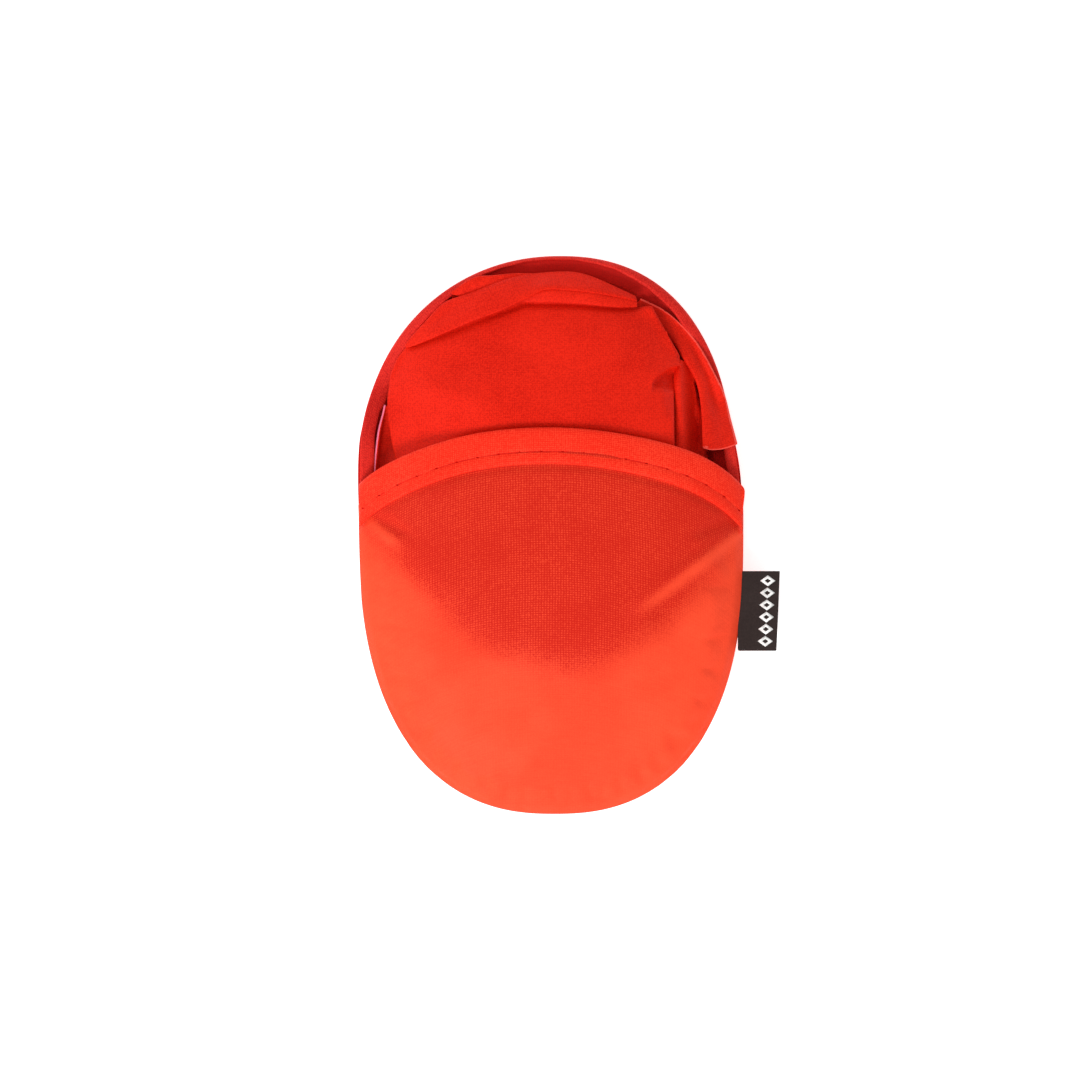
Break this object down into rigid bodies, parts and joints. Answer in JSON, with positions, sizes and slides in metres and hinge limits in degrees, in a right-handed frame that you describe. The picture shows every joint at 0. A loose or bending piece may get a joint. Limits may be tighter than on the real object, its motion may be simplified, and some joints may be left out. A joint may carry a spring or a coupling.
{
  "type": "foldable tote bag",
  "caption": "Thin tote bag folded into an oval zipless pouch with a bound curved mouth, an open hemmed hood and a folded side label.",
  "frame": {"origin": "centre of the flat resting area on the outside of the pouch's back panel", "axes": "+X to the right across the pouch, +Y towards the open hood, +Z out of the front face"},
  "size_m": [0.1126, 0.1482, 0.0199],
  "materials": {
    "pouch_cloth": "thin plain-woven polyester with a soft sheen",
    "binding_tape": "smooth folded polyester tape with a soft sheen",
    "bag_cloth": "thin plain-woven polyester, folded and lightly creased",
    "sewing_thread": "spun polyester thread",
    "label_ribbon": "matte woven satin ribbon with a plain white woven border pattern"
  },
  "bodies": {
    "pouch": {"pouch_back_panel": "pouch_cloth", "pouch_front_panel": "pouch_cloth", "mouth_binding_end_left": "binding_tape", "mouth_binding_end_right": "binding_tape", "mouth_thread_end_left": "sewing_thread", "mouth_thread_end_right": "sewing_thread", "hood_binding": "binding_tape", "hood_thread": "sewing_thread", "pouch_seam_allowance": "pouch_cloth", "pouch_seam_thread": "sewing_thread"},
    "lip": {"pouch_lip_panel": "pouch_cloth", "mouth_binding": "binding_tape", "mouth_thread": "sewing_thread"},
    "label": {"label_ribbon": "label_ribbon"},
    "bag": {"bag_back_panel": "bag_cloth", "bag_front_panel": "bag_cloth", "bag_top_fold": "bag_cloth", "bag_handle_front": "bag_cloth", "bag_handle_back": "bag_cloth", "bag_side_seam_right": "bag_cloth", "bag_side_seam_left": "bag_cloth", "bag_bottom_seam": "bag_cloth"}
  },
  "joints": [
    {"name": "bag_slide", "type": "slide", "parent": "pouch", "child": "bag", "axis": [0, 1, 0], "range_m": [0, 0.11]},
    {"name": "lip_lift", "type": "hinge", "parent": "pouch", "child": "lip", "pos_m": [0, 0.013, 0.019], "axis": [1, 0, 0], "range_deg": [0, 35], "stiffness_Nm_per_rad": 0.002},
    {"name": "label_fold", "type": "hinge", "parent": "pouch", "child": "label", "pos_m": [0.0515, -0.0204, 0.008], "axis": [0, 1, 0], "range_deg": [-60, 60], "stiffness_Nm_per_rad": 0.0005}
  ]
}
